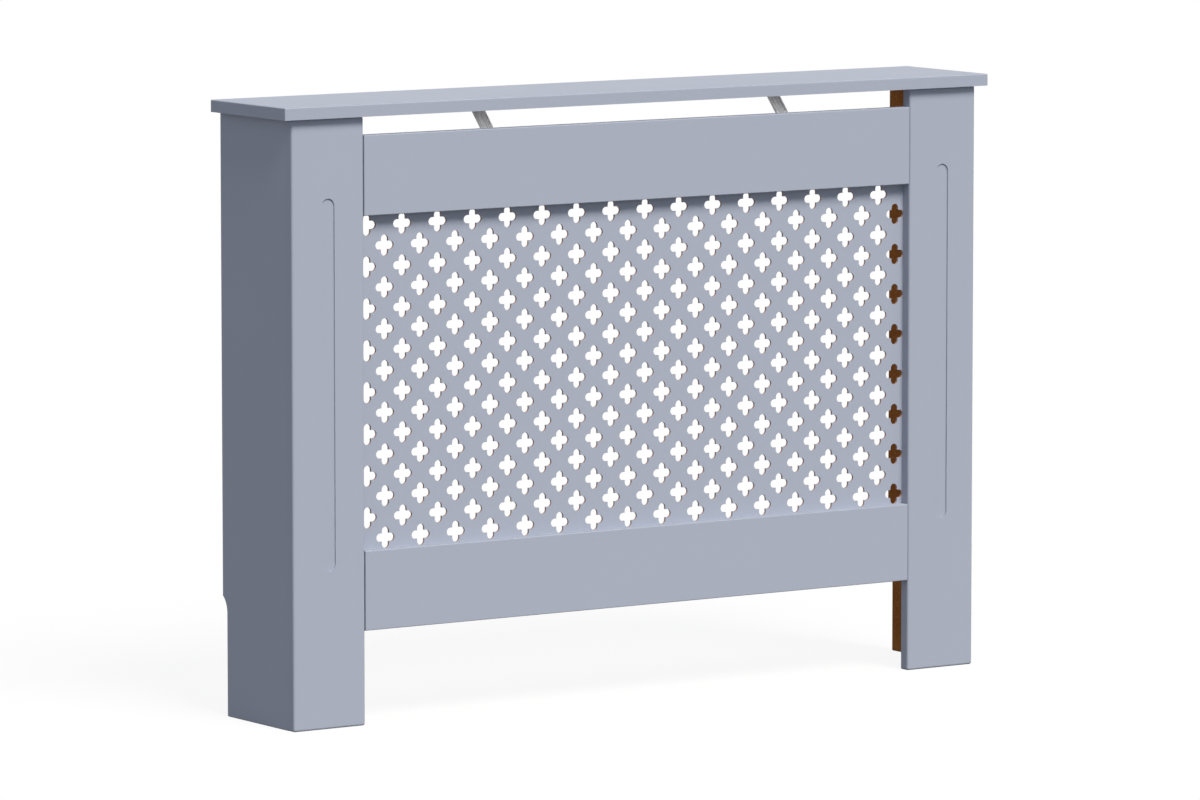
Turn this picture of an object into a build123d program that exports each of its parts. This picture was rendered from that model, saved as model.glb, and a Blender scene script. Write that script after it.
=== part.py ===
from build123d import *
from math import sqrt
import os

os.makedirs("parts", exist_ok=True)

# Radiator cover cabinet, in millimetres. X runs along the cover, Y from the
# room to the wall, Z up. The origin is on the floor, under the middle of the
# top board.

# ------------------------------------------------------------ driving sizes

width = 1120
depth = 185
height = 809
board = 15  # thickness of the sides, the stiles and the rails
top_thickness = 16
end_overhang = 15
front_overhang = 9

rail_height = 104.3
air_slot = 24.6  # between the upper rail and the top board

grille_pitch = 27.24
grille_columns = 32
grille_rows = 16
grille_thickness = 3
grille_lap = 18  # how far the sheet reaches behind the frame
hole_length = 27.8  # tip to tip, across two opposite lobes
hole_lobe = 10.9

skirting_depth = 11.5
skirting_height = 137
skirting_radius = 27.5

flute_width = 19.5
flute_depth = 1.8
flute_bottom = 205.5
flute_top = 689.3

stile_edge = 3  # radius of a stile's corners, and all round its front face
foot_edge = 2  # radius all round the bottom end of a side
top_edge = 1.4
top_rear_corner = 2.5
rail_edge = 1.2
panel_edge = 1
batten_edge = 3

# Steel stays between the upper rail and the top
stay_place = 235.7  # from the middle of the cover
stay_width = 18
stay_thickness = 1.5
stay_bend = 3
stay_lip = 3
stay_foot = 40
stay_rise = 27  # height of the slanting stretch
stay_run = 25  # and its reach towards the wall
stay_rail_screws = (9, 27)  # up from the end of the lower foot
stay_top_screws = (12, 30)  # back from the upper bend

# Battens in the corners of the sides and the stiles
batten = 25
batten_bottom = 20
batten_length = 735
batten_stile_levels = (80, 290, 500, 710)
batten_side_levels = (120, 330, 540, 670)

# Steel plates across the joints of the rails and the stiles
plate_length = 60
plate_height = 15
plate_thickness = 2
plate_screws = (-23, -9, 9, 23)  # along the plate, from its middle

# Plastic blocks in the corners of the sides and the top
block_length = 44
block_leg = 20
block_wall = 4
block_gusset = 3
block_start = -12
block_screw_inset = 12  # from the corner, along either leg

# Steel angles that fix the sides to the wall
bracket_side_leg = 40
bracket_wall_leg = 42
bracket_height = 20
bracket_thickness = 2
bracket_level = 705
bracket_screws = (14, 32)  # forward of the wall
wall_hole = 5  # diameter
wall_hole_place = 500  # from the middle of the cover

# Dowels
dowel = 8  # diameter
dowel_chamfer = 1
rail_dowel_in_rail = 20
rail_dowel_in_stile = 15
rail_dowel_inset = 25  # from a rail's long edges
top_dowel_in_top = 10
top_dowel_in_side = 20
side_dowel_places = (-40, 60)  # along the depth

# Screws: shank diameter and length
short_shank = 3.5
short_length = 12
long_shank = 4
long_length = 35
thin_shank = 3
thin_length = 12
grille_screw_spacing = 140
grille_screw_count = 7  # along each rail
grille_side_levels = (340, 555)

# A screw's proportions: its head over its shank, a pan head's crown over its
# shank, and the crown's rounding and the cross recess over the head
head_ratio = 2
crown_ratio = 0.6
flat_reach = 0.6
shoulder_reach = 0.9
shoulder_level = 0.65  # up the crown
recess_reach = 0.52
recess_slot = 0.14
recess_depth = 0.7

# ------------------------------------------------------- places that follow

underside = height - top_thickness
front = -depth / 2 + front_overhang
frame_back = front + board
grille_back = frame_back + grille_thickness
wall = depth / 2

outer_side = width / 2 - end_overhang
inner_side = outer_side - board
window_side = grille_columns * grille_pitch / 2
stile_width = outer_side - window_side
stile_middle = (outer_side + window_side) / 2
stile_line = front + board / 2  # middle of the stiles' thickness

upper_rail_top = underside - air_slot
upper_rail_bottom = upper_rail_top - rail_height
lower_rail_top = upper_rail_bottom - grille_rows * grille_pitch
lower_rail_bottom = lower_rail_top - rail_height

hands = {"left": -1, "right": 1}
rail_bottoms = {"upper": upper_rail_bottom, "lower": lower_rail_bottom}
rail_middles = {name: bottom + rail_height / 2 for name, bottom in rail_bottoms.items()}

to_wall = (0, 1, 0)
up = (0, 0, 1)
down = (0, 0, -1)


def seat(x, y, z, outward):
    """The mouth of a hole; outward is the way its screw or dowel comes out."""
    return Plane(origin=(x, y, z), z_dir=outward).location


# ------------------------------------------------------------------- dowels

top_of_hole = (Align.CENTER, Align.CENTER, Align.MAX)

rail_dowel_length = rail_dowel_in_stile + rail_dowel_in_rail
rail_dowel_seats = [
    seat(side * (window_side + rail_dowel_in_stile), stile_line, level, (side, 0, 0))
    for side in hands.values()
    for bottom in rail_bottoms.values()
    for level in (bottom + rail_dowel_inset, bottom + rail_height - rail_dowel_inset)
]

top_dowel_length = top_dowel_in_top + top_dowel_in_side
top_dowel_seats = []
for side in hands.values():
    top_dowel_seats.append(seat(side * stile_middle, stile_line, underside + top_dowel_in_top, up))
    for place in side_dowel_places:
        side_line = side * (outer_side - board / 2)
        top_dowel_seats.append(seat(side_line, place, underside + top_dowel_in_top, up))

with BuildPart() as rail_dowels:
    with Locations(*rail_dowel_seats):
        Cylinder(dowel / 2, rail_dowel_length, align=top_of_hole)
    chamfer(rail_dowels.edges().filter_by(GeomType.CIRCLE), dowel_chamfer)
rail_dowels.part.label = "rail_dowels"
export_step(rail_dowels.part, "parts/rail_dowels.step")

with BuildPart() as top_dowels:
    with Locations(*top_dowel_seats):
        Cylinder(dowel / 2, top_dowel_length, align=top_of_hole)
    chamfer(top_dowels.edges().filter_by(GeomType.CIRCLE), dowel_chamfer)
top_dowels.part.label = "top_dowels"
export_step(top_dowels.part, "parts/top_dowels.step")

# ------------------------------------------------------------------- screws


def countersunk(shank, length, recessed=True):
    """Countersunk wood screw: flat of the head at the origin, point down -Z."""
    head = head_ratio * shank
    cone = (head - shank) / 2
    with BuildPart() as body:
        with BuildSketch(Plane.XZ):
            with BuildLine():
                Polyline(
                    (0, 0),
                    (head / 2, 0),
                    (shank / 2, -cone),
                    (shank / 2, shank - length),
                    (0, -length),
                    close=True,
                )
            make_face()
        revolve(axis=Axis.Z)
        if recessed:
            with BuildSketch():
                Rectangle(head * recess_reach, head * recess_slot)
                Rectangle(head * recess_slot, head * recess_reach)
            extrude(amount=-cone * recess_depth, mode=Mode.SUBTRACT)
    return body.part


def pan_head(shank, length, recessed=True):
    """Pan-head wood screw: underside of the head at the origin, point down -Z."""
    head = head_ratio * shank
    crown = crown_ratio * shank
    shoulder = (shoulder_reach * head / 2, shoulder_level * crown)
    flat = flat_reach * head / 2
    with BuildPart() as body:
        with BuildSketch(Plane.XZ):
            with BuildLine():
                Polyline(
                    (flat, crown),
                    (0, crown),
                    (0, -length),
                    (shank / 2, shank - length),
                    (shank / 2, 0),
                    (head / 2, 0),
                )
                ThreePointArc((head / 2, 0), shoulder, (flat, crown))
            make_face()
        revolve(axis=Axis.Z)
        if recessed:
            with BuildSketch(Plane.XY.offset(crown)):
                Rectangle(head * recess_reach, head * recess_slot)
                Rectangle(head * recess_slot, head * recess_reach)
            extrude(amount=-crown * recess_depth, mode=Mode.SUBTRACT)
    return body.part


stay_rail_seats = [
    seat(side * stay_place, frame_back + stay_thickness, upper_rail_top - stay_foot + rise, to_wall)
    for side in hands.values()
    for rise in stay_rail_screws
]
stay_top_seats = [
    seat(side * stay_place, frame_back + stay_run + reach, underside - stay_thickness, down)
    for side in hands.values()
    for reach in stay_top_screws
]

batten_middle = inner_side - batten / 2
batten_stile_seats = [
    seat(side * batten_middle, frame_back + batten, level, to_wall)
    for side in hands.values()
    for level in batten_stile_levels
]
batten_side_seats = [
    seat(side * (inner_side - batten), frame_back + batten / 2, level, (-side, 0, 0))
    for side in hands.values()
    for level in batten_side_levels
]

plate_seats = [
    seat(side * (window_side + along), frame_back + plate_thickness, level, to_wall)
    for side in hands.values()
    for level in rail_middles.values()
    for along in plate_screws
]

block_middle = block_start + block_length / 2
block_top_seats = [
    seat(side * (inner_side - block_screw_inset), block_middle + along, underside - block_wall, down)
    for side in hands.values()
    for along in (-block_screw_inset, block_screw_inset)
]
block_side_seats = [
    seat(side * (inner_side - block_wall), block_middle, underside - block_screw_inset, (-side, 0, 0))
    for side in hands.values()
]

bracket_seats = [
    seat(side * (inner_side - bracket_thickness), wall - forward, bracket_level, (-side, 0, 0))
    for side in hands.values()
    for forward in bracket_screws
]

grille_rim = grille_lap / 2
grille_first_screw = -grille_screw_spacing * (grille_screw_count - 1) / 2
grille_seats = [
    seat(grille_first_screw + number * grille_screw_spacing, grille_back, level, to_wall)
    for number in range(grille_screw_count)
    for level in (lower_rail_top - grille_rim, upper_rail_bottom + grille_rim)
]
grille_seats += [
    seat(side * (window_side + grille_rim), grille_back, level, to_wall)
    for side in hands.values()
    for level in grille_side_levels
]

short_pan = pan_head(short_shank, short_length)
short_pan_hole = pan_head(short_shank, short_length, recessed=False)
short_sunk = countersunk(short_shank, short_length)
short_sunk_hole = countersunk(short_shank, short_length, recessed=False)
long_sunk = countersunk(long_shank, long_length)
long_sunk_hole = countersunk(long_shank, long_length, recessed=False)
thin_pan = pan_head(thin_shank, thin_length)
thin_pan_hole = pan_head(thin_shank, thin_length, recessed=False)

screw_groups = {
    "stay_rail_screws": (short_pan, stay_rail_seats),
    "stay_top_screws": (short_pan, stay_top_seats),
    "batten_stile_screws": (long_sunk, batten_stile_seats),
    "batten_side_screws": (long_sunk, batten_side_seats),
    "joint_plate_screws": (short_sunk, plate_seats),
    "top_block_screws": (short_pan, block_top_seats + block_side_seats),
    "wall_bracket_screws": (short_pan, bracket_seats),
    "grille_screws": (thin_pan, grille_seats),
}
for name, (one_screw, seats) in screw_groups.items():
    with BuildPart() as group:
        with Locations(*seats):
            add(one_screw)
    group.part.label = name
    export_step(group.part, f"parts/{name}.step")

# ---------------------------------------------------------------- top board

with BuildPart() as top_board:
    with BuildSketch(Plane.XY.offset(underside)):
        Rectangle(width, depth)
        fillet(vertices().group_by(Axis.Y)[0], panel_edge)
        fillet(vertices().group_by(Axis.Y)[-1], top_rear_corner)
    extrude(amount=top_thickness)
    fillet(top_board.faces().sort_by(Axis.Z)[-1].edges(), top_edge)
    with Locations(*top_dowel_seats):
        Cylinder(dowel / 2, top_dowel_length, align=top_of_hole, mode=Mode.SUBTRACT)
    with Locations(*stay_top_seats, *block_top_seats):
        add(short_pan_hole, mode=Mode.SUBTRACT)
top_board.part.label = "top_board"
export_step(top_board.part, "parts/top_board.step")

# -------------------------------------------------------------- side panels

# The lower rear corner is cut back to clear a skirting board, and sweeps out
# to the wall in an arc.
notch_back = wall - skirting_depth
notch_end = skirting_height + sqrt(skirting_radius**2 - (skirting_radius - skirting_depth) ** 2)

for hand, side in hands.items():
    with BuildPart() as side_panel:
        with BuildSketch(Plane.YZ.offset(side * inner_side)):
            with BuildLine():
                TangentArc((notch_back, skirting_height), (wall, notch_end), tangent=(0, 1))
                Polyline(
                    (wall, notch_end),
                    (wall, underside),
                    (frame_back, underside),
                    (frame_back, 0),
                    (notch_back, 0),
                    (notch_back, skirting_height),
                )
            make_face()
        extrude(amount=side * board)
        rear_edges = side_panel.edges().group_by(Axis.Y)[-1].filter_by(Axis.Z)
        fillet(rear_edges, panel_edge)
        fillet(side_panel.faces().sort_by(Axis.Z)[0].edges(), foot_edge)
        with Locations(*top_dowel_seats):
            Cylinder(dowel / 2, top_dowel_length, align=top_of_hole, mode=Mode.SUBTRACT)
        with Locations(*block_side_seats, *bracket_seats):
            add(short_pan_hole, mode=Mode.SUBTRACT)
        with Locations(*batten_side_seats):
            add(long_sunk_hole, mode=Mode.SUBTRACT)
    side_panel.part.label = f"{hand}_side_panel"
    export_step(side_panel.part, f"parts/{hand}_side_panel.step")

# ------------------------------------------------------------------- stiles

flute_length = flute_top - flute_bottom
flute_middle = (flute_top + flute_bottom) / 2

for hand, side in hands.items():
    with BuildPart() as stile:
        with BuildSketch():
            with Locations((side * stile_middle, stile_line)):
                Rectangle(stile_width, board)
        extrude(amount=underside)
        fillet(stile.edges().filter_by(Axis.Y), stile_edge)
        front_face = stile.faces().sort_by(Axis.Y)[0]
        fillet(front_face.edges(), stile_edge)
        with BuildSketch(Plane.XZ.offset(-front)):
            with Locations((side * stile_middle, flute_middle)):
                SlotOverall(flute_length, flute_width, rotation=90)
        extrude(amount=-flute_depth, mode=Mode.SUBTRACT)
        with Locations(*top_dowel_seats):
            Cylinder(dowel / 2, top_dowel_length, align=top_of_hole, mode=Mode.SUBTRACT)
        with Locations(*rail_dowel_seats):
            Cylinder(dowel / 2, rail_dowel_length, align=top_of_hole, mode=Mode.SUBTRACT)
        with Locations(*batten_stile_seats):
            add(long_sunk_hole, mode=Mode.SUBTRACT)
        with Locations(*plate_seats):
            add(short_sunk_hole, mode=Mode.SUBTRACT)
        with Locations(*grille_seats):
            add(thin_pan_hole, mode=Mode.SUBTRACT)
    stile.part.label = f"{hand}_stile"
    export_step(stile.part, f"parts/{hand}_stile.step")

# -------------------------------------------------------------------- rails

for name, middle in rail_middles.items():
    with BuildPart() as rail:
        with BuildSketch(Plane.XZ.offset(-frame_back)):
            with Locations((0, middle)):
                Rectangle(2 * window_side, rail_height)
        extrude(amount=board)
        fillet(rail.faces().sort_by(Axis.Y)[0].edges(), rail_edge)
        with Locations(*rail_dowel_seats):
            Cylinder(dowel / 2, rail_dowel_length, align=top_of_hole, mode=Mode.SUBTRACT)
        with Locations(*plate_seats):
            add(short_sunk_hole, mode=Mode.SUBTRACT)
        with Locations(*stay_rail_seats):
            add(short_pan_hole, mode=Mode.SUBTRACT)
        with Locations(*grille_seats):
            add(thin_pan_hole, mode=Mode.SUBTRACT)
    rail.part.label = f"{name}_rail"
    export_step(rail.part, f"parts/{name}_rail.step")

# ------------------------------------------------------------- grille panel

# Every other cell of a square grid has a hole: two round-ended slots crossed.
first_column = -window_side + grille_pitch / 2
first_row = upper_rail_bottom - grille_pitch / 2
hole_places = [
    (first_column + column * grille_pitch, first_row - row * grille_pitch)
    for row in range(grille_rows)
    for column in range(grille_columns)
    if (column + row) % 2 == 0
]
sheet_height = upper_rail_bottom - lower_rail_top + 2 * grille_lap
sheet_middle = (upper_rail_bottom + lower_rail_top) / 2

with BuildSketch(Plane.XZ) as four_lobes:
    SlotOverall(hole_length, hole_lobe)
    SlotOverall(hole_length, hole_lobe, rotation=90)

with BuildPart() as grille_panel:
    with BuildSketch(Plane.XZ.offset(-grille_back)):
        with Locations((0, sheet_middle)):
            Rectangle(2 * (window_side + grille_lap), sheet_height)
        with Locations(*hole_places):
            add(four_lobes.sketch_local, mode=Mode.SUBTRACT)
    extrude(amount=grille_thickness)
    with Locations(*grille_seats):
        add(thin_pan_hole, mode=Mode.SUBTRACT)
grille_panel.part.label = "grille_panel"
export_step(grille_panel.part, "parts/grille_panel.step")

# -------------------------------------------------------------------- stays

# A stay is one steel strap bent three ways: a foot up the back of the upper
# rail, a slanting stretch with two raised lips, and a foot under the top. Its
# profile follows the middle of the strap's thickness.
strap_front = frame_back + stay_thickness / 2
strap_top = underside - stay_thickness / 2
lower_bend = Vector(strap_front, underside - stay_rise)
upper_bend = Vector(strap_front + stay_run, strap_top)
slant = (upper_bend - lower_bend).normalized()
lip_side = Vector(-slant.Y, slant.X)

for hand, side in hands.items():
    with BuildPart() as stay:
        with BuildSketch(Plane.YZ.offset(side * stay_place)):
            with BuildLine():
                FilletPolyline(
                    (strap_front, upper_rail_top - stay_foot),
                    lower_bend,
                    upper_bend,
                    upper_bend + Vector(stay_foot, 0),
                    radius=stay_bend,
                )
            trace(line_width=stay_thickness)
        extrude(amount=stay_width / 2, both=True)
        for edge in (-1, 1):
            lip_middle = edge * (stay_width - stay_thickness) / 2
            with BuildSketch(Plane.YZ.offset(side * stay_place + lip_middle)):
                with BuildLine():
                    Polyline(
                        lower_bend,
                        lower_bend + (lip_side + slant) * stay_lip,
                        upper_bend + (lip_side - slant) * stay_lip,
                        upper_bend,
                        close=True,
                    )
                make_face()
            extrude(amount=stay_thickness / 2, both=True)
        with Locations(*stay_rail_seats, *stay_top_seats):
            add(short_pan_hole, mode=Mode.SUBTRACT)
    stay.part.label = f"{hand}_stay"
    export_step(stay.part, f"parts/{hand}_stay.step")

# ----------------------------------------------------------- corner battens

for hand, side in hands.items():
    with BuildPart() as corner_batten:
        with BuildSketch(Plane.XY.offset(batten_bottom)):
            with Locations((side * batten_middle, frame_back + batten / 2)):
                Rectangle(batten, batten)
        extrude(amount=batten_length)
        upright_edges = corner_batten.edges().filter_by(Axis.Z)
        free_edge = upright_edges.sort_by_distance((0, wall, height / 2))[0]
        fillet(free_edge, batten_edge)
        with Locations(*batten_stile_seats, *batten_side_seats):
            add(long_sunk_hole, mode=Mode.SUBTRACT)
    corner_batten.part.label = f"{hand}_corner_batten"
    export_step(corner_batten.part, f"parts/{hand}_corner_batten.step")

# ------------------------------------------------------------- joint plates

for name, middle in rail_middles.items():
    for hand, side in hands.items():
        with BuildPart() as joint_plate:
            with BuildSketch(Plane.XZ.offset(-frame_back)):
                with Locations((side * window_side, middle)):
                    SlotOverall(plate_length, plate_height)
            extrude(amount=-plate_thickness)
            with Locations(*plate_seats):
                add(short_sunk_hole, mode=Mode.SUBTRACT)
        joint_plate.part.label = f"{name}_{hand}_joint_plate"
        export_step(joint_plate.part, f"parts/{name}_{hand}_joint_plate.step")

# --------------------------------------------------------------- top blocks

# A block is an angle with a gusset across each end.
for hand, side in hands.items():
    corner = Vector(side * inner_side, underside)
    along_top = Vector(-side, 0)
    down_side = Vector(0, -1)
    with BuildPart() as top_block:
        with BuildSketch(Plane.XZ.offset(-block_start)):
            with BuildLine():
                Polyline(
                    corner,
                    corner + along_top * block_leg,
                    corner + along_top * block_leg + down_side * block_wall,
                    corner + along_top * block_wall + down_side * block_wall,
                    corner + along_top * block_wall + down_side * block_leg,
                    corner + down_side * block_leg,
                    close=True,
                )
            make_face()
        extrude(amount=-block_length)
        for start in (block_start, block_start + block_length - block_gusset):
            with BuildSketch(Plane.XZ.offset(-start)):
                with BuildLine():
                    Polyline(
                        corner,
                        corner + along_top * block_leg,
                        corner + down_side * block_leg,
                        close=True,
                    )
                make_face()
            extrude(amount=-block_gusset)
        with Locations(*block_top_seats, *block_side_seats):
            add(short_pan_hole, mode=Mode.SUBTRACT)
    top_block.part.label = f"{hand}_top_block"
    export_step(top_block.part, f"parts/{hand}_top_block.step")

# ------------------------------------------------------------ wall brackets

half_sheet = bracket_thickness / 2
bracket_bend = 3 * half_sheet

for hand, side in hands.items():
    with BuildPart() as wall_bracket:
        with BuildSketch(Plane.XY.offset(bracket_level)):
            with BuildLine():
                FilletPolyline(
                    (side * (inner_side - half_sheet), wall - bracket_side_leg),
                    (side * (inner_side - half_sheet), wall - half_sheet),
                    (side * (inner_side - bracket_wall_leg), wall - half_sheet),
                    radius=bracket_bend,
                )
            trace(line_width=bracket_thickness)
        extrude(amount=bracket_height / 2, both=True)
        with Locations(*bracket_seats):
            add(short_pan_hole, mode=Mode.SUBTRACT)
        with Locations(seat(side * wall_hole_place, wall, bracket_level, to_wall)):
            Hole(wall_hole / 2, bracket_thickness)
    wall_bracket.part.label = f"{hand}_wall_bracket"
    export_step(wall_bracket.part, f"parts/{hand}_wall_bracket.step")
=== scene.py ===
import math
from functools import reduce

import bpy
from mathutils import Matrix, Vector


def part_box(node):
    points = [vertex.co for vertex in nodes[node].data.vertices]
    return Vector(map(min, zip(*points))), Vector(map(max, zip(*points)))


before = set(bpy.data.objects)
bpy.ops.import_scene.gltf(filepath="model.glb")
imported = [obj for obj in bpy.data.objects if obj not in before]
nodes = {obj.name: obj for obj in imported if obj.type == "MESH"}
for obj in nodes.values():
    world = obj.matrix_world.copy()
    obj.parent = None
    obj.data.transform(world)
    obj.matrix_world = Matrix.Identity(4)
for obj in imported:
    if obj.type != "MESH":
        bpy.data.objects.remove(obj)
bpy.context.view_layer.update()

# --------------------------------------------------------------- side panels
# The ends of the cover: 15 mm MDF, sawn out and sprayed grey-blue on the
# outside before the box goes together, and left bare brown inside. A little
# spray mist reaches round the edges of the bare face.


class Wire:
    """An output of a finish's nodes. A sum on wires adds Math nodes."""

    def __init__(self, socket):
        self.socket = socket

    def node(self, kind, settings=None, sockets=None, output=0):
        """Adds a node of that kind, and gives the wire of one of its outputs."""
        tree = self.socket.id_data
        added = tree.nodes.new(kind)
        for name, setting in (settings or {}).items():
            setattr(added, name, setting)
        used = [socket for socket in added.inputs if socket.enabled]
        by_name = {socket.name: socket for socket in reversed(used)}
        for key, value in (sockets or {}).items():
            socket = used[key] if isinstance(key, int) else by_name[key]
            if isinstance(value, Wire):
                tree.links.new(value.socket, socket)
            else:
                socket.default_value = value
        shown = [socket for socket in added.outputs if socket.enabled]
        if isinstance(output, str):
            return Wire(next(socket for socket in shown if socket.name == output))
        return Wire(shown[output])

    def maths(self, operation, first, second):
        return self.node("ShaderNodeMath", {"operation": operation}, {0: first, 1: second})

    def __add__(self, other):
        return self.maths("ADD", self, other)

    __radd__ = __add__

    def __sub__(self, other):
        return self.maths("SUBTRACT", self, other)

    def __rsub__(self, other):
        return self.maths("SUBTRACT", other, self)

    def __mul__(self, other):
        return self.maths("MULTIPLY", self, other)

    __rmul__ = __mul__

    def lesser(self, other):
        return self.maths("MINIMUM", self, other)

    def greater(self, other):
        return self.maths("MAXIMUM", self, other)


def screen_colour(red, green, blue):
    """The linear colour of red, green and blue as a screen shows them, from 0 to 255."""
    shares = [value / 255 for value in (red, green, blue)]
    return tuple(((share + 0.055) / 1.055) ** 2.4 for share in shares) + (1,)


def cloudy(place, size, detail=2, output="Fac"):
    """Soft irregular patches of about that size in metres, from 0 to 1."""
    sockets = {"Vector": place, "Scale": 1 / size, "Detail": detail}
    return place.node("ShaderNodeTexNoise", None, sockets, output)


def stretched(place, along_x, along_y, along_z):
    """The same place with each axis multiplied, so that a pattern lengthens where it is small."""
    sockets = {0: place, 1: (along_x, along_y, along_z)}
    return place.node("ShaderNodeVectorMath", {"operation": "MULTIPLY"}, sockets)


def coordinate(place, axis):
    """The X, Y or Z of a place."""
    return place.node("ShaderNodeSeparateXYZ", None, {0: place}, axis)


def step_up(value, start, end):
    """0 below start, 1 above end, and smooth between them."""
    sockets = {"Value": value, "From Min": start, "From Max": end}
    return value.node("ShaderNodeMapRange", {"interpolation_type": "SMOOTHSTEP"}, sockets)


def blend_colour(share, first, second):
    """The first colour where the share is 0, and the second where it is 1."""
    sockets = {"Factor": share, "A": first, "B": second}
    return share.node("ShaderNodeMix", {"data_type": "RGBA"}, sockets)


def blend_value(share, first, second):
    """The first number where the share is 0, and the second where it is 1."""
    return first + share * (second - first)


def new_finish(name):
    """A new material with its shader, and the place and normal of each point."""
    material = bpy.data.materials.new(name)
    material.use_nodes = True
    tree = material.node_tree
    where = tree.nodes.new("ShaderNodeTexCoord").outputs
    return material, tree.nodes["Principled BSDF"], Wire(where["Object"]), Wire(where["Normal"])


def put_on(shader, colour, roughness, height):
    """Wires a finish's colour, roughness and height in metres to the shader."""
    tree = shader.id_data
    tree.links.new(colour.socket, shader.inputs["Base Color"])
    tree.links.new(roughness.socket, shader.inputs["Roughness"])
    relief = {"Height": height, "Distance": 1.0, "Strength": 1.0}
    bumped = height.node("ShaderNodeBump", None, relief)
    tree.links.new(bumped.socket, shader.inputs["Normal"])


def dress(piece, material):
    """Gives a piece of the cover its finish."""
    nodes[piece].data.materials.clear()
    nodes[piece].data.materials.append(material)


paint_colour = screen_colour(168, 174, 188)
soaked_colour = screen_colour(166, 172, 186)
paint_cloud = 0.14
paint_roughness = 0.5
peel_size = 0.0035
peel_height = 0.00002
raised_fibre = 0.0009
raised_height = 0.00004


def sprayed_paint(place, cut_edge):
    """Satin paint: faint clouding and orange peel, and a duller, rougher coat on cut edges."""
    clouding = cloudy(place, paint_cloud) - 0.5
    peel = cloudy(place, peel_size, 1)
    fibres = cloudy(place, raised_fibre, 3)
    soaked = step_up(clouding, -0.4, 0.4) * 0.5 + cut_edge * 0.5
    colour = blend_colour(soaked, paint_colour, soaked_colour)
    roughness = paint_roughness + 0.08 * clouding + 0.14 * cut_edge
    height = peel_height * peel + raised_height * fibres * cut_edge
    return colour, roughness, height


fibre_colour = screen_colour(197, 132, 68)
dark_fibre_colour = screen_colour(156, 97, 46)
fibre_cloud = 0.05
fibre_size = 0.0016
fibre_stretch = 0.45
fibre_roughness = 0.78
fibre_height = 0.00006
fleck_colour = screen_colour(214, 162, 101)
fleck_size = 0.0028


def bare_board(place):
    """Raw MDF: pressed brown fibres with darker and paler flecks, sanded dull."""
    clouding = cloudy(place, fibre_cloud, 4)
    fibres = cloudy(stretched(place, 1, 1, fibre_stretch), fibre_size, 4)
    flecks = step_up(cloudy(place, fleck_size, 1), 0.62, 0.7)
    pale = step_up(clouding * 0.4 + fibres * 0.6, 0.3, 0.7)
    colour = blend_colour(pale, dark_fibre_colour, fibre_colour)
    colour = blend_colour(flecks * 0.55, colour, fleck_colour)
    roughness = fibre_roughness + 0.15 * fibres
    height = fibre_height * fibres
    return colour, roughness, height


board_gloss = 0.05
mist_drift = 0.03
mist_speck = 0.0012


def board_finish(piece, inside, mist, edges_bare=0.0, inside_bare=1.0, groove_shade=None):
    """Paint on a board's face and edges, and bare fibres on the face that looks inside.

    The mist is how far the spray reaches over the bare face's edges, in metres. The cut
    edges and the inner face are bare from 0, all paint, to 1. A groove shade is the width
    and the colour of painted shade at both ends of the board, darkening the joint grooves.
    """
    material, shader, place, normal = new_finish(piece + "_finish")
    sockets = {0: normal, 1: inside}
    facing = normal.node("ShaderNodeVectorMath", {"operation": "DOT_PRODUCT"}, sockets, "Value")
    inner_face = step_up(facing, 0.4, 0.8)
    cut_edge = 1 - step_up(facing * facing, 0.2, 0.8)

    low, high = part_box(piece)
    reaches = []
    for axis, name in enumerate("XYZ"):
        if inside[axis] == 0:
            across = coordinate(place, name)
            reaches += [across - low[axis], high[axis] - across]
    rim = reduce(Wire.lesser, reaches)
    drift = cloudy(place, mist_drift, 3) - 0.5
    specks = cloudy(place, mist_speck, 1) - 0.5
    ragged = rim + mist * drift + 0.4 * mist * specks
    unpainted = inner_face * step_up(ragged, 0.3 * mist, mist) * inside_bare
    unpainted = unpainted.greater(cut_edge * edges_bare)

    colour, roughness, height = sprayed_paint(place, cut_edge)
    # Painted shade: both ends of the board darken to a dark colour, which stands in for the shade in
    # the joint grooves.
    if groove_shade:
        shade_width, shade_colour = groove_shade
        along = coordinate(place, "X")
        to_end = (along - low[0]).lesser(high[0] - along)
        colour = blend_colour(step_up(to_end, 0.5 * shade_width, shade_width), shade_colour, colour)
    raw_colour, raw_roughness, raw_height = bare_board(place)
    colour = blend_colour(unpainted, colour, raw_colour)
    roughness = blend_value(unpainted, roughness, raw_roughness)
    height = blend_value(unpainted, height, raw_height)
    put_on(shader, colour, roughness, height)
    shader.inputs["Specular IOR Level"].default_value = board_gloss
    return material


board_mist = 0.0015
for hand, inside in {"left": (1, 0, 0), "right": (-1, 0, 0)}.items():
    piece = f"{hand}_side_panel"
    dress(piece, board_finish(piece, inside, board_mist))

# ------------------------------------------------------------------- stiles
# The wide front uprights: 15 mm MDF, rounded all round the face, with a
# shallow stopped flute cut by a router. Face and edges are sprayed, and the
# back is bare.

to_wall = (0, 1, 0)
for piece in ("left_stile", "right_stile"):
    dress(piece, board_finish(piece, to_wall, board_mist))

# ----------------------------------------------------------- corner battens
# Planed softwood, 25 mm square, screwed into the corners of the sides and
# the stiles from inside. The grain runs along it.

pale_wood = screen_colour(234, 206, 162)
late_wood = screen_colour(204, 158, 106)
grain_stretch = 0.035
grain_wander = 0.03
pore_stretch = 0.04
pore_size = 0.0007
pore_height = 0.00005
late_height = 0.00003
planed_roughness = 0.62


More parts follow.
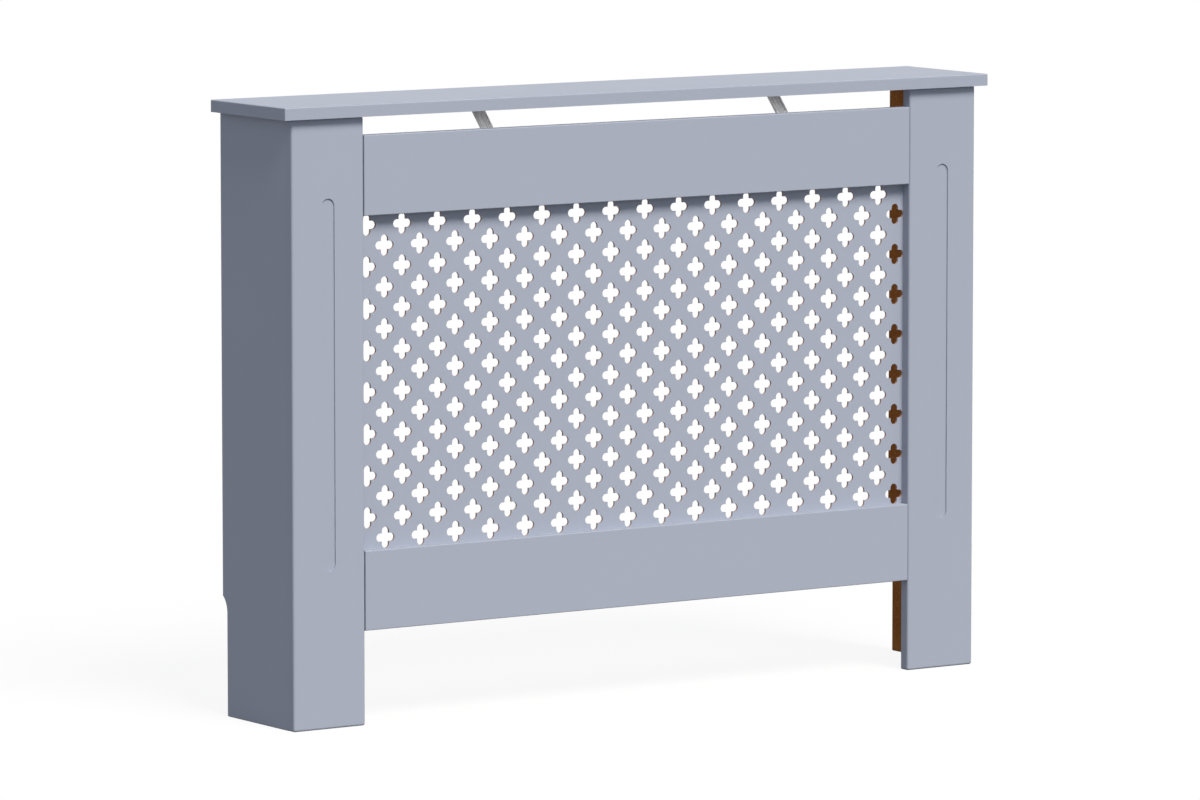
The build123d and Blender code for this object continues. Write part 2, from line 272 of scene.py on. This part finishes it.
def softwood(name):
    """Pine with its darker late wood in growth rings drawn out along Z, and fine pores."""
    material, shader, place, _ = new_finish(name)
    along = stretched(place, 1, 1, grain_stretch)
    wander = cloudy(along, grain_wander, 3)
    rings = place.node(
        "ShaderNodeTexWave",
        {"wave_type": "RINGS", "rings_direction": "Z"},
        {"Vector": along, "Scale": 78, "Distortion": 6, "Detail": 3, "Detail Scale": 1.4},
        "Fac",
    )
    pores = cloudy(stretched(place, 1, 1, pore_stretch), pore_size, 3)
    late = step_up(rings * 0.8 + wander * 0.3, 0.35, 1.0)
    colour = blend_colour(late, pale_wood, late_wood)
    colour = blend_colour(step_up(pores, 0.5, 0.8) * 0.35, colour, late_wood)
    roughness = planed_roughness + 0.12 * pores
    put_on(shader, colour, roughness, pore_height * pores + late_height * late)
    return material


batten_wood = softwood("planed_softwood")
for piece in ("left_corner_batten", "right_corner_batten"):
    dress(piece, batten_wood)

# -------------------------------------------------------------------- rails
# The two cross pieces: 15 mm MDF between the stiles and flush with them,
# sprayed the same, with eased edges that leave a fine groove at each joint.
# Painted shade darkens both ends of each rail to deepen the groove's shade.

# Painted shade at the rails' ends: its width in metres and its dark colour.
rail_groove_shade = (0.0013, screen_colour(120, 125, 138))
for piece in ("upper_rail", "lower_rail"):
    dress(piece, board_finish(piece, to_wall, board_mist, groove_shade=rail_groove_shade))

# ------------------------------------------------------------------- dowels
# Turned beech pins, glued into the rails' ends and under the top. Only their
# ends would show with the cover taken apart.

beech_colour = screen_colour(200, 158, 112)
beech_fleck = screen_colour(156, 104, 62)
beech_stretch = 0.2
beech_pore = 0.0006
beech_roughness = 0.55
beech_height = 0.00004


def beech(name):
    """Pale wood with short dark flecks, drawn out along Y and Z."""
    material, shader, place, _ = new_finish(name)
    pores = cloudy(stretched(place, 1, beech_stretch, beech_stretch), beech_pore, 3)
    colour = blend_colour(step_up(pores, 0.45, 0.75) * 0.6, beech_colour, beech_fleck)
    put_on(shader, colour, beech_roughness + 0.15 * pores, beech_height * pores)
    return material


dowel_wood = beech("turned_beech")
for piece in ("rail_dowels", "top_dowels"):
    dress(piece, dowel_wood)

# ------------------------------------------------------------- grille panel
# A thin sheet of the same board, pierced with four-lobed holes by a router
# and sprayed from the front, so that the holes' walls and its back are bare.

sheet_mist = 0.0015
bare_walls = 0.6
sheet_finish = board_finish("grille_panel", to_wall, sheet_mist, edges_bare=bare_walls)
dress("grille_panel", sheet_finish)

# ---------------------------------------------------------------- top board
# The shelf: 16 mm MDF with eased edges, sprayed on top and all round. Its
# underside only has a thin coat that the brown fibres show through.

top_mist = 0.03
thin_coat = 0.2
top_finish = board_finish("top_board", (0, 0, -1), top_mist, inside_bare=thin_coat)
dress("top_board", top_finish)

# -------------------------------------------------------------------- stays
# Bent straps of matt galvanised steel between the upper rail and the top,
# brushed along their length.

bright_streak = screen_colour(255, 255, 254)
dull_streak = screen_colour(238, 238, 239)
streak_stretch = 0.06
streak_width = 0.0016
streak_height = 0.00001
strap_roughness = 0.94


def brushed_strap(name):
    """Matt steel with long streaks along Y and Z, the way the strap runs."""
    material, shader, place, _ = new_finish(name)
    streaks = cloudy(stretched(place, 1, streak_stretch, streak_stretch), streak_width, 3)
    colour = blend_colour(step_up(streaks, 0.38, 0.62), dull_streak, bright_streak)
    put_on(shader, colour, strap_roughness + 0.06 * streaks, streak_height * streaks)
    shader.inputs["Metallic"].default_value = 1.0
    return material


strap_steel = brushed_strap("brushed_strap")
for piece in ("left_stay", "right_stay"):
    dress(piece, strap_steel)

# ------------------------------------------------------- plates and brackets
# Punched and bent mild steel with a thin zinc plating, a little scuffed from
# the press.

zinc_colour = screen_colour(206, 206, 204)
dull_zinc_colour = screen_colour(184, 184, 183)
zinc_patch = 0.006
zinc_roughness = 0.42
scuff_stretch = 0.08
scuff_size = 0.0006
scuff_height = 0.00001


def zinc_plate(name):
    """Zinc in dull and bright patches, with fine scuffs along X."""
    material, shader, place, _ = new_finish(name)
    patches = cloudy(place, zinc_patch, 3)
    scuffs = cloudy(stretched(place, scuff_stretch, 1, 1), scuff_size, 2)
    bright = step_up(patches * 0.7 + scuffs * 0.3, 0.3, 0.7)
    colour = blend_colour(bright, dull_zinc_colour, zinc_colour)
    put_on(shader, colour, zinc_roughness + 0.2 * patches, scuff_height * scuffs)
    shader.inputs["Metallic"].default_value = 1.0
    return material


plated_steel = zinc_plate("plated_steel")
for hand in ("left", "right"):
    for piece in (f"upper_{hand}_joint_plate", f"lower_{hand}_joint_plate", f"{hand}_wall_bracket"):
        dress(piece, plated_steel)

# ------------------------------------------------------------------- screws
# Wood screws with a cross recess, of steel with a bright zinc plating that
# is a little dull in small patches.

screw_colour = screen_colour(196, 194, 186)
worn_screw_colour = screen_colour(150, 147, 138)
wear_size = 0.0015
wear_height = 0.000004
screw_roughness = 0.26


def bright_zinc(name):
    """Bright plating with small darker worn patches."""
    material, shader, place, _ = new_finish(name)
    patches = cloudy(place, wear_size, 3)
    colour = blend_colour(step_up(patches, 0.35, 0.65), worn_screw_colour, screw_colour)
    put_on(shader, colour, screw_roughness + 0.16 * patches, wear_height * patches)
    shader.inputs["Metallic"].default_value = 0.95
    return material


screw_zinc = bright_zinc("bright_zinc")
for piece in nodes:
    if piece.endswith("_screws"):
        dress(piece, screw_zinc)

# --------------------------------------------------------------- top blocks
# Moulded polypropylene corner blocks, off-white, with a fine spark texture
# from the mould.

block_colour = screen_colour(222, 219, 207)
block_shade = screen_colour(205, 201, 188)
spark_size = 0.0005
spark_height = 0.00002
flow_size = 0.012
block_roughness = 0.5


def moulded_plastic(name):
    """Off-white plastic, faintly cloudy from the flow into the mould."""
    material, shader, place, _ = new_finish(name)
    spark = cloudy(place, spark_size, 2)
    flow = cloudy(place, flow_size, 2)
    colour = blend_colour(step_up(flow, 0.3, 0.7), block_shade, block_colour)
    put_on(shader, colour, block_roughness + 0.1 * flow, spark_height * spark)
    return material


block_plastic = moulded_plastic("moulded_plastic")
for piece in ("left_top_block", "right_top_block"):
    dress(piece, block_plastic)

# ------------------------------------------------------------------- studio
# A plain white floor that fades into a white surround, with soft cool light
# from low all round and one large soft lamp, a little warm, high in front.
# The camera stands far off to the left and looks a little down.

floor_reach = 80
shadow_share = 0.1
floor_white = 0.8
floor_glow = 1.015
floor_bounce = 0.2


def seen_directly(wire):
    """1 for what the camera sees, also in gloss or through glass."""
    seen = wire.node("ShaderNodeLightPath", None, None, "Is Camera Ray")
    for ray in ("Is Glossy Ray", "Is Transmission Ray"):
        seen = seen.greater(wire.node("ShaderNodeLightPath", None, None, ray))
    return seen


def studio_floor(name):
    """White to the camera, with a faint shadow, and a darker floor to the light."""
    material, shader, place, _ = new_finish(name)
    tree = material.node_tree
    tree.nodes.remove(shader)
    seen = seen_directly(place)
    glow = place.node("ShaderNodeEmission", None, {"Color": (1, 1, 1, 1), "Strength": floor_glow})
    white = place.node("ShaderNodeBsdfDiffuse", None, {"Color": (floor_white,) * 3 + (1,)})
    pale = place.node("ShaderNodeMixShader", None, {0: shadow_share, 1: glow, 2: white})
    bounce = place.node("ShaderNodeBsdfDiffuse", None, {"Color": (floor_bounce,) * 3 + (1,)})
    shown = place.node("ShaderNodeMixShader", None, {0: seen, 1: bounce, 2: pale})
    tree.links.new(shown.socket, tree.nodes["Material Output"].inputs["Surface"])
    return material


floor_mesh = bpy.data.meshes.new("studio_floor")
corners = [(-1, -1), (1, -1), (1, 1), (-1, 1)]
floor_mesh.from_pydata([(x * floor_reach, y * floor_reach, 0) for x, y in corners], [], [(0, 1, 2, 3)])
floor = bpy.data.objects.new("studio_floor", floor_mesh)
bpy.context.scene.collection.objects.link(floor)
floor.data.materials.append(studio_floor("studio_floor"))

surround_colour = (0.884, 0.948, 1.084, 1)
surround_low = 0.77  # at the horizon
surround_high = 0.015  # straight up

world = bpy.data.worlds.new("studio_surround")
world.use_nodes = True
bpy.context.scene.world = world
backdrop = world.node_tree.nodes["Background"]
away = Wire(backdrop.outputs[0]).node("ShaderNodeTexCoord", None, None, "Generated")
seen = seen_directly(away)
glow_colour = blend_colour(seen, surround_colour, (1, 1, 1, 1))
glow_level = blend_value(seen, blend_value(coordinate(away, "Z"), surround_low, surround_high), 1)
world.node_tree.links.new(glow_colour.socket, backdrop.inputs["Color"])
world.node_tree.links.new(glow_level.socket, backdrop.inputs["Strength"])


def set_up(name, data, bearing, drop):
    """A lamp or a camera that points to a bearing, from the wall towards the right, and down."""
    thing = bpy.data.objects.new(name, data)
    reach = math.cos(drop)
    way = Vector((reach * math.sin(bearing), reach * math.cos(bearing), -math.sin(drop)))
    thing.rotation_euler = way.to_track_quat("-Z", "Y").to_euler()
    bpy.context.scene.collection.objects.link(thing)
    return thing


lamp_bearing = math.radians(-2)
lamp_drop = math.radians(51)
lamp_spread = math.radians(26)
lamp_strength = 3.31
lamp_colour = (1.046, 1.023, 0.973)

lamp = bpy.data.lights.new("soft_lamp", "SUN")
lamp.energy = lamp_strength
lamp.color = lamp_colour
lamp.angle = lamp_spread
set_up("soft_lamp", lamp, lamp_bearing, lamp_drop)

camera_place = (-5.8003, -8.587, 1.5592)
camera_bearing = 0.59308
camera_drop = 0.11234
camera_lens = 234.69
camera_film = 36
camera_reach = 400

camera_data = bpy.data.cameras.new("camera")
camera_data.lens = camera_lens
camera_data.sensor_width = camera_film
camera_data.clip_end = camera_reach
camera = set_up("camera", camera_data, camera_bearing, camera_drop)
camera.location = camera_place
bpy.context.scene.camera = camera
bpy.context.scene.view_settings.view_transform = "Standard"
